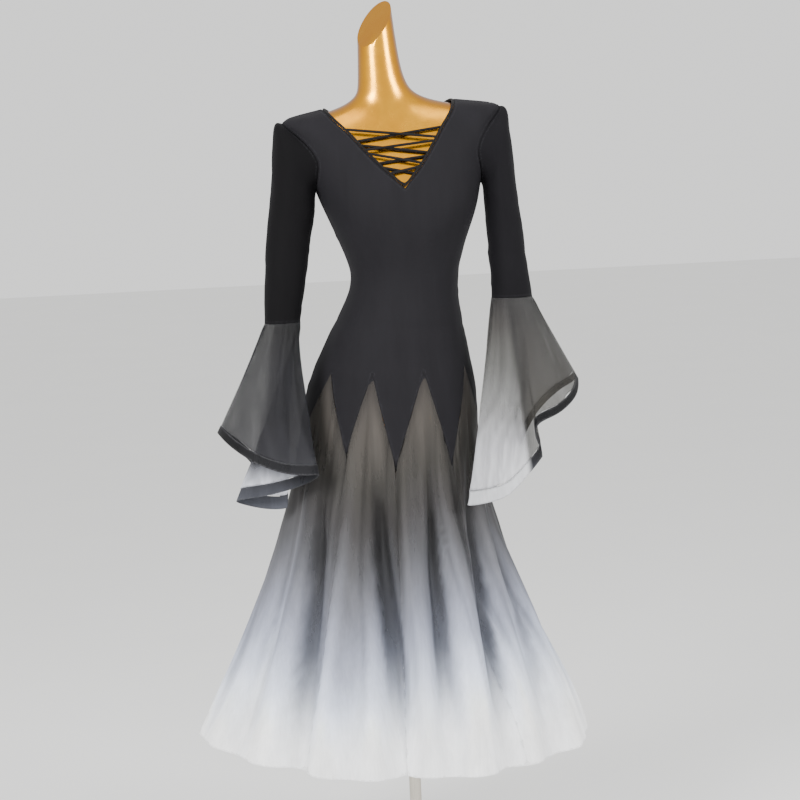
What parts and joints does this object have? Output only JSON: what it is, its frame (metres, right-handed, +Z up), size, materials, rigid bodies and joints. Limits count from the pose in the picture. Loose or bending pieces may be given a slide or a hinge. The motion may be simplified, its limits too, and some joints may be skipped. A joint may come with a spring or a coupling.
{
  "type": "ballroom dance dress on a dress form",
  "caption": "Long-sleeved ballroom dance dress with a laced V neck, bell cuffs and a flared skirt with pointed gores, worn by a limbless dress form on a round-footed pole.",
  "frame": {"origin": "on the floor, at the middle of the round foot, on the axis of the pole", "axes": "+Z up; -Y is the front of the dress; +X is towards the wearer's left"},
  "size_m": [0.7585, 0.5347, 1.6963],
  "materials": {
    "knit": "matte black stretch knit",
    "organza": "sheer, dip-dyed from black through grey to white",
    "cuff_organza": "sheer, dip-dyed from black to white",
    "braid": "stiff horsehair braid",
    "trim": "black spaghetti cord",
    "form_gold": "gold plated, glossy",
    "stand_steel": "brushed"
  },
  "bodies": {
    "root": {"bodice_front": "knit", "bodice_back": "knit", "sleeve_right": "knit", "sleeve_left": "knit", "flounce_right": "cuff_organza", "flounce_left": "cuff_organza", "braid_right": "braid", "braid_left": "braid", "gore_1": "organza", "gore_2": "organza", "gore_3": "organza", "gore_4": "organza", "gore_5": "organza", "gore_6": "organza", "gore_7": "organza", "gore_8": "organza", "neck_binding": "trim", "lace_1": "trim", "lace_2": "trim", "lace_3": "trim", "lace_4": "trim", "lace_5": "trim", "lace_6": "trim", "lace_7": "trim", "lace_8": "trim", "form_torso": "form_gold", "form_pole": "stand_steel", "form_base": "stand_steel"}
  },
  "joints": []
}
